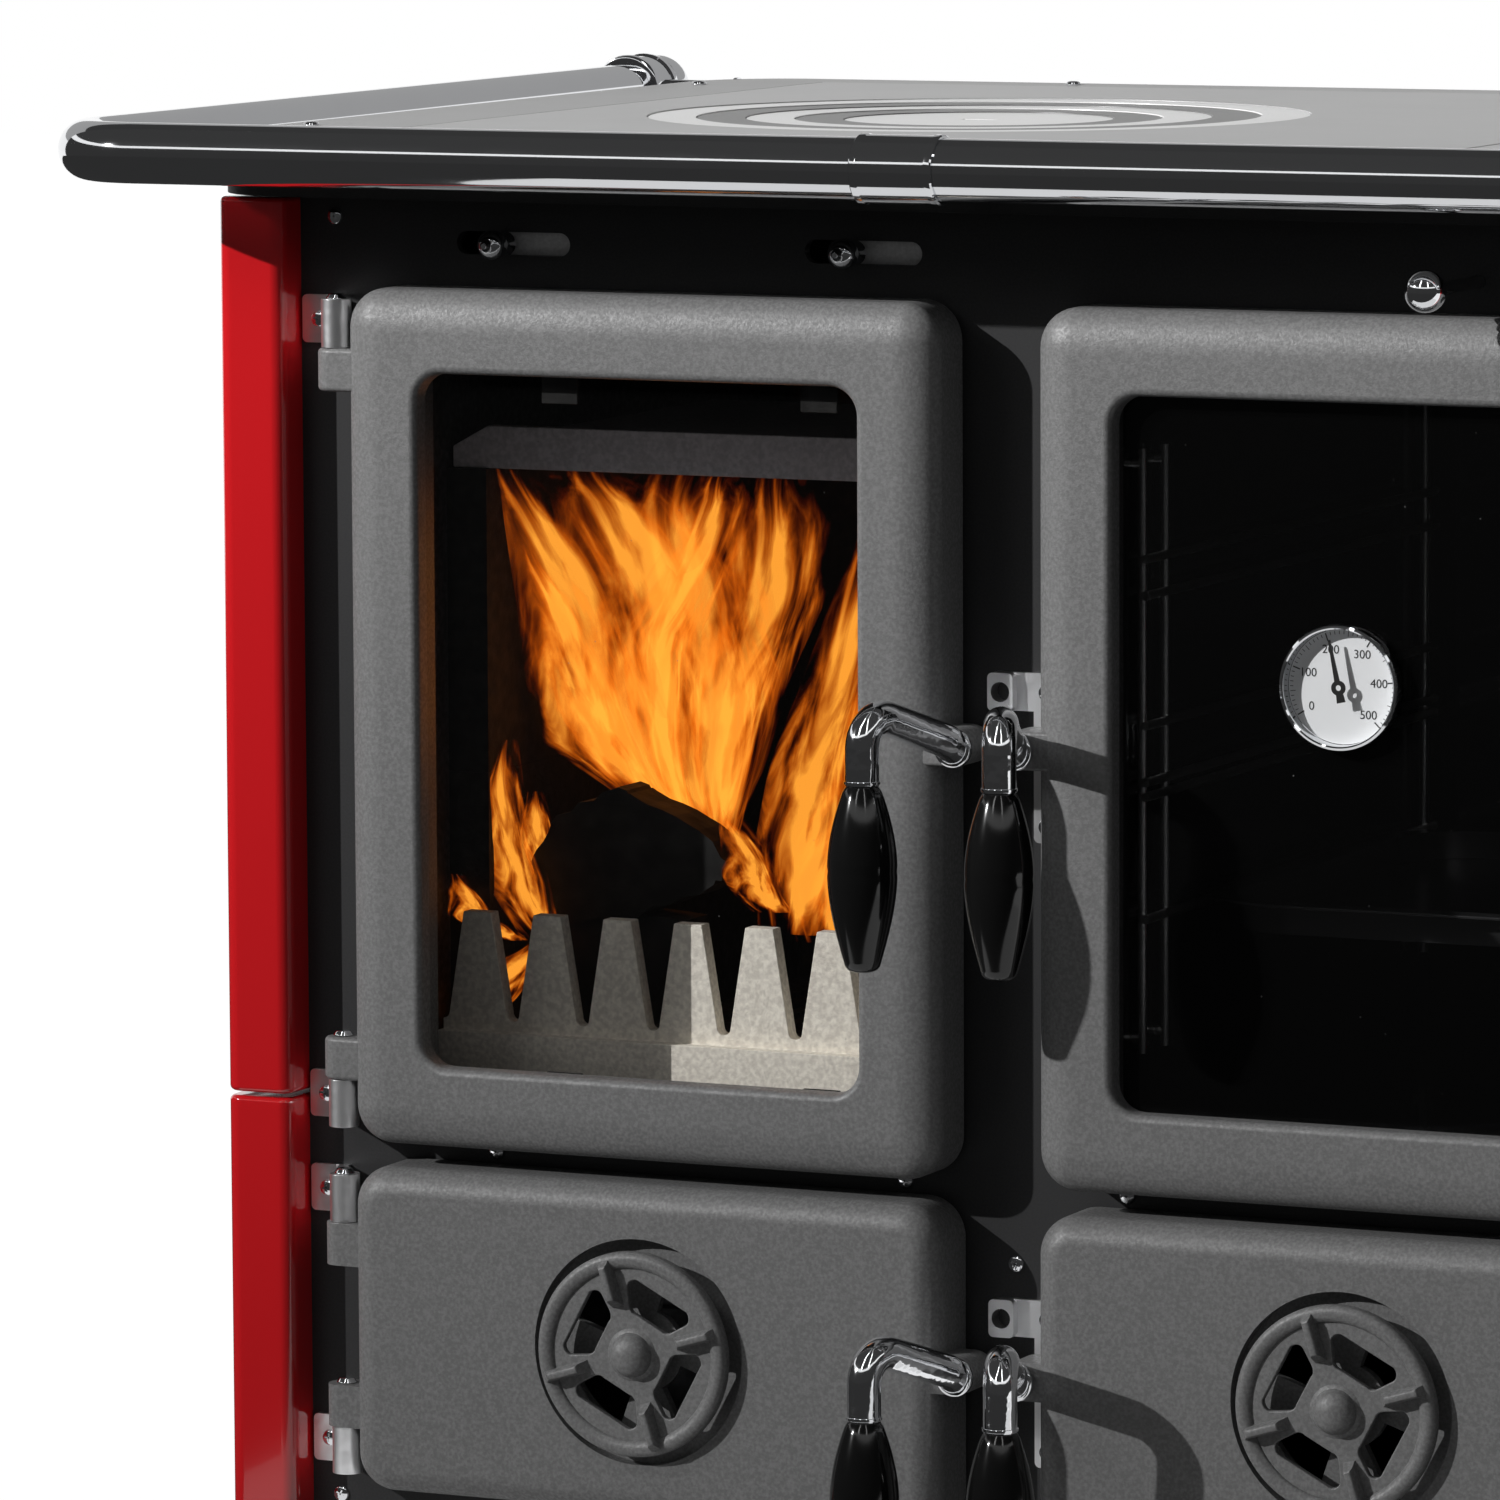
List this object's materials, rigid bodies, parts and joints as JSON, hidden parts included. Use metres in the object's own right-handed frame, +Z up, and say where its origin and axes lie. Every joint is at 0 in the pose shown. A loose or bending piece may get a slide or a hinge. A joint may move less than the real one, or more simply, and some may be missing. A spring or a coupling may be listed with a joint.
{
  "type": "cast iron range cooker",
  "caption": "Free-standing wood-fired range cooker with a glazed firebox and oven, ash and store doors, a ring hob, enamelled sides and a towel rail.",
  "frame": {"origin": "on the floor under the middle of the whole cooker's box", "axes": "+X to the user's right, +Y to the back, +Z up; the doors face -Y"},
  "size_m": [1.118, 0.8289, 0.8744],
  "materials": {
    "foot_black": "moulded levelling foot",
    "black_paint": "satin black heat-proof paint",
    "red_enamel": "glossy red enamel on sheet steel",
    "grey_iron": "grey heat-proof paint with a fine grain on cast iron",
    "raw_iron": "bare cast iron",
    "ash_iron": "cast iron greyed by ash",
    "fire_brick": "pressed fire brick",
    "dark_enamel": "dark enamel",
    "chrome": "polished chrome plate",
    "hob_steel": "ground hob plate, light grey",
    "hob_dark": "ground hob ring, darker grey",
    "sheet_steel": "galvanised sheet",
    "clear_glass": "heat-proof glass",
    "dark_glass": "dark heat-proof glass",
    "rope_seal": "woven rope seal",
    "black_grip": "glossy black grip",
    "needle_black": "black painted needle"
  },
  "bodies": {
    "root": {"levelling_feet": "foot_black", "plinth": "black_paint", "base_panel": "black_paint", "side_walls": "black_paint", "back_panel": "black_paint", "decks": "black_paint", "middle_wall": "black_paint", "front_frame": "black_paint", "cladding_left_upper": "red_enamel", "cladding_left_lower": "red_enamel", "cladding_right_upper": "red_enamel", "cladding_right_lower": "red_enamel", "firebox_shell": "raw_iron", "fire_bricks": "fire_brick", "fire_grate": "raw_iron", "fire_fence": "ash_iron", "baffle_plate": "raw_iron", "oven_liner": "dark_enamel", "rack_guides": "chrome", "flue_collar": "raw_iron", "hob_frame": "hob_steel", "towel_rail": "chrome", "rail_fittings": "chrome", "hinge_brackets": "chrome", "hinge_pins": "chrome", "latch_keepers": "chrome", "screws": "chrome"},
    "main_plate": {"main_plate": "hob_steel"},
    "ring_1": {"ring_1": "hob_steel"},
    "ring_2": {"ring_2": "hob_dark"},
    "ring_3": {"ring_3": "hob_steel"},
    "ring_4": {"ring_4": "hob_dark"},
    "centre_plug": {"centre_plug": "hob_steel"},
    "side_plate": {"side_plate": "hob_steel"},
    "air_slide_left": {"air_slide_left": "chrome"},
    "air_slide_right": {"air_slide_right": "chrome"},
    "damper": {"damper_rod": "chrome", "damper_knob": "chrome"},
    "firebox_door": {"firebox_door": "grey_iron", "firebox_glass": "clear_glass", "firebox_clips": "sheet_steel", "firebox_seal": "rope_seal"},
    "firebox_handle": {"firebox_lever": "chrome", "firebox_grip": "black_grip"},
    "oven_door": {"oven_door": "grey_iron", "oven_glass": "dark_glass", "thermometer": "chrome"},
    "thermometer_needle": {"thermometer_needle": "needle_black"},
    "oven_handle": {"oven_lever": "chrome", "oven_grip": "black_grip"},
    "ash_door": {"ash_door": "grey_iron"},
    "ash_register": {"ash_register": "grey_iron"},
    "ash_handle": {"ash_lever": "chrome", "ash_grip": "black_grip"},
    "store_door": {"store_door": "grey_iron"},
    "store_register": {"store_register": "grey_iron"},
    "store_handle": {"store_lever": "chrome", "store_grip": "black_grip"},
    "ash_drawer": {"ash_drawer": "sheet_steel"},
    "baking_tray": {"baking_tray": "dark_enamel"}
  },
  "joints": [
    {"name": "firebox_door_hinge", "type": "hinge", "parent": "root", "child": "firebox_door", "pos_m": [-0.3995, -0.3085, 0.536], "axis": [0, 0, -1], "range_deg": [0, 100]},
    {"name": "oven_door_hinge", "type": "hinge", "parent": "root", "child": "oven_door", "pos_m": [0.3995, -0.3085, 0.536], "axis": [0, 0, 1], "range_deg": [0, 100]},
    {"name": "ash_door_hinge", "type": "hinge", "parent": "root", "child": "ash_door", "pos_m": [-0.3995, -0.3085, 0.1905], "axis": [0, 0, -1], "range_deg": [0, 100]},
    {"name": "store_door_hinge", "type": "hinge", "parent": "root", "child": "store_door", "pos_m": [0.3995, -0.3085, 0.1905], "axis": [0, 0, 1], "range_deg": [0, 100]},
    {"name": "firebox_handle_turn", "type": "hinge", "parent": "firebox_door", "child": "firebox_handle", "pos_m": [-0.018, -0.3085, 0.536], "axis": [0, 1, 0], "range_deg": [0, 70]},
    {"name": "oven_handle_turn", "type": "hinge", "parent": "oven_door", "child": "oven_handle", "pos_m": [0.018, -0.3085, 0.536], "axis": [0, -1, 0], "range_deg": [0, 70]},
    {"name": "ash_handle_turn", "type": "hinge", "parent": "ash_door", "child": "ash_handle", "pos_m": [-0.018, -0.3085, 0.1905], "axis": [0, 1, 0], "range_deg": [0, 70]},
    {"name": "store_handle_turn", "type": "hinge", "parent": "store_door", "child": "store_handle", "pos_m": [0.018, -0.3085, 0.1905], "axis": [0, -1, 0], "range_deg": [0, 70]},
    {"name": "ash_register_turn", "type": "hinge", "parent": "ash_door", "child": "ash_register", "pos_m": [-0.2085, -0.3185, 0.1905], "axis": [0, -1, 0], "range_deg": [-14, 31]},
    {"name": "store_register_turn", "type": "hinge", "parent": "store_door", "child": "store_register", "pos_m": [0.2085, -0.3185, 0.1905], "axis": [0, -1, 0], "range_deg": [-14, 31]},
    {"name": "thermometer_needle_turn", "type": "hinge", "parent": "oven_door", "child": "thermometer_needle", "pos_m": [0.204, -0.3205, 0.578], "axis": [0, -1, 0], "range_deg": [-148, 107]},
    {"name": "air_slide_left_travel", "type": "slide", "parent": "root", "child": "air_slide_left", "axis": [1, 0, 0], "range_m": [-0.026, 0.036]},
    {"name": "air_slide_right_travel", "type": "slide", "parent": "root", "child": "air_slide_right", "axis": [1, 0, 0], "range_m": [-0.026, 0.036]},
    {"name": "damper_travel", "type": "slide", "parent": "root", "child": "damper", "axis": [0, 1, 0], "range_m": [0, 0.055]},
    {"name": "main_plate_lift", "type": "slide", "parent": "root", "child": "main_plate", "axis": [0, 0, 1], "range_m": [0, 0.06]},
    {"name": "side_plate_lift", "type": "slide", "parent": "root", "child": "side_plate", "axis": [0, 0, 1], "range_m": [0, 0.06]},
    {"name": "ring_1_lift", "type": "slide", "parent": "main_plate", "child": "ring_1", "axis": [0, 0, 1], "range_m": [0, 0.06]},
    {"name": "ring_2_lift", "type": "slide", "parent": "ring_1", "child": "ring_2", "axis": [0, 0, 1], "range_m": [0, 0.06]},
    {"name": "ring_3_lift", "type": "slide", "parent": "ring_2", "child": "ring_3", "axis": [0, 0, 1], "range_m": [0, 0.06]},
    {"name": "ring_4_lift", "type": "slide", "parent": "ring_3", "child": "ring_4", "axis": [0, 0, 1], "range_m": [0, 0.06]},
    {"name": "centre_plug_lift", "type": "slide", "parent": "ring_4", "child": "centre_plug", "axis": [0, 0, 1], "range_m": [0, 0.06]},
    {"name": "ash_drawer_slide", "type": "slide", "parent": "root", "child": "ash_drawer", "axis": [0, -1, 0], "range_m": [0, 0.11]},
    {"name": "baking_tray_slide", "type": "slide", "parent": "root", "child": "baking_tray", "axis": [0, -1, 0], "range_m": [0, 0.18]}
  ],
  "couplings": [
    {"joint": "ash_drawer_slide", "follows": "ash_door_hinge", "m_per_rad": 0.06},
    {"joint": "baking_tray_slide", "follows": "oven_door_hinge", "m_per_rad": 0.1}
  ]
}
